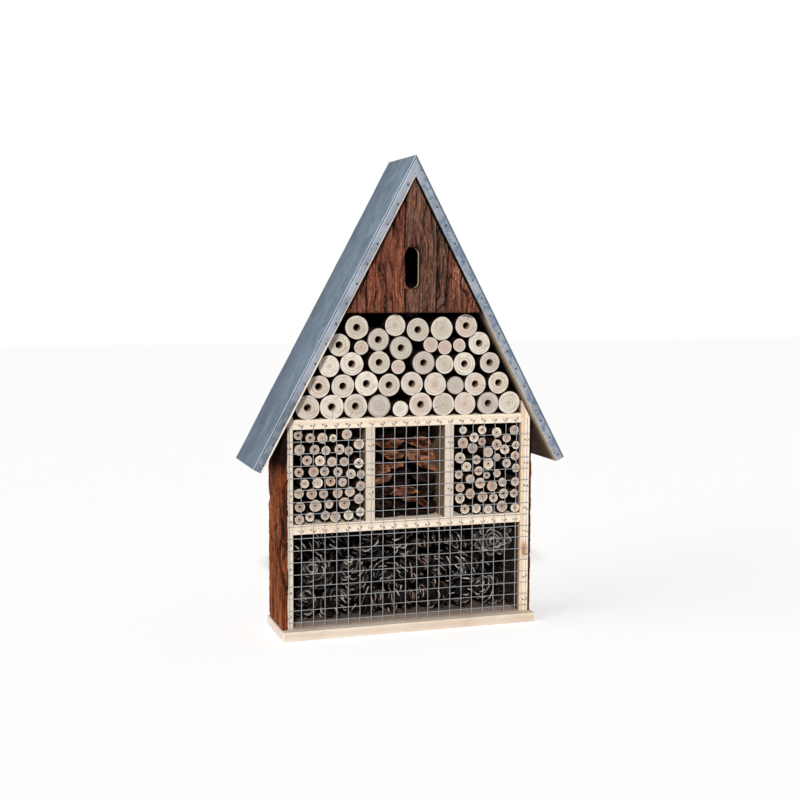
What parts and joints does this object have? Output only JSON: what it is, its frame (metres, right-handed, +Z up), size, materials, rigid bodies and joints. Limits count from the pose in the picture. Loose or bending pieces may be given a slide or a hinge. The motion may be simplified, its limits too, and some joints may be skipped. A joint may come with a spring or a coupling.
{
  "type": "insect hotel",
  "caption": "Gabled wooden insect house with zinc roof, entry slot, drilled logs, canes, bark and pine cones behind wire mesh, resting on a base board or hung from a keyhole plate.",
  "frame": {"origin": "on the underside of the base board, midway between the eaves and midway between the roof's front and back edges", "axes": "+X to the viewer's right, +Y to the back, +Z up to the ridge; the meshed front faces -Y"},
  "size_m": [0.345, 0.0938, 0.503],
  "materials": {
    "pine": "planed softwood, unfinished, with knots",
    "plywood": "thin plywood, unfinished",
    "zinc": "dull blue-grey zinc sheet, smudged",
    "bark": "rough split conifer bark",
    "log_wood": "sawn end grain with bark round the rim",
    "cane": "cut canes with pith",
    "bark_chips": "broken flakes of bark",
    "pine_cone": "dry pine cones with pale scale tips",
    "mesh_wire": "galvanised welded wire",
    "nail_steel": "plain steel nails",
    "hanger_steel": "zinc-plated steel"
  },
  "bodies": {
    "root": {"base_board": "pine", "left_side_board": "pine", "right_side_board": "pine", "lower_shelf": "pine", "upper_shelf": "pine", "left_divider": "pine", "right_divider": "pine", "back_panel": "plywood", "gable_board": "plywood", "left_roof_board": "pine", "right_roof_board": "pine", "left_roof_sheet": "zinc", "right_roof_sheet": "zinc", "left_fascia": "zinc", "right_fascia": "zinc", "gable_bark_1": "bark", "gable_bark_2": "bark", "gable_bark_3": "bark", "gable_bark_4": "bark", "gable_bark_5": "bark", "left_bark_1": "bark", "left_bark_2": "bark", "left_bark_3": "bark", "right_bark_1": "bark", "right_bark_2": "bark", "right_bark_3": "bark", "drilled_logs_1": "log_wood", "drilled_logs_2": "log_wood", "drilled_logs_3": "log_wood", "drilled_logs_4": "log_wood", "drilled_logs_5": "log_wood", "plain_logs_1": "log_wood", "plain_logs_2": "log_wood", "plain_logs_3": "log_wood", "plain_logs_4": "log_wood", "plain_logs_5": "log_wood", "left_canes": "cane", "right_canes": "cane", "bark_chips": "bark_chips", "pine_cones_lower": "pine_cone", "pine_cones_middle": "pine_cone", "pine_cones_upper": "pine_cone", "mesh_uprights": "mesh_wire", "mesh_cross_wires": "mesh_wire", "mesh_staples": "mesh_wire", "fascia_nails": "nail_steel", "roof_nails": "nail_steel", "frame_nails": "nail_steel", "back_panel_nails": "nail_steel", "hanger_plate": "hanger_steel", "hanger_screws": "hanger_steel"}
  },
  "joints": []
}
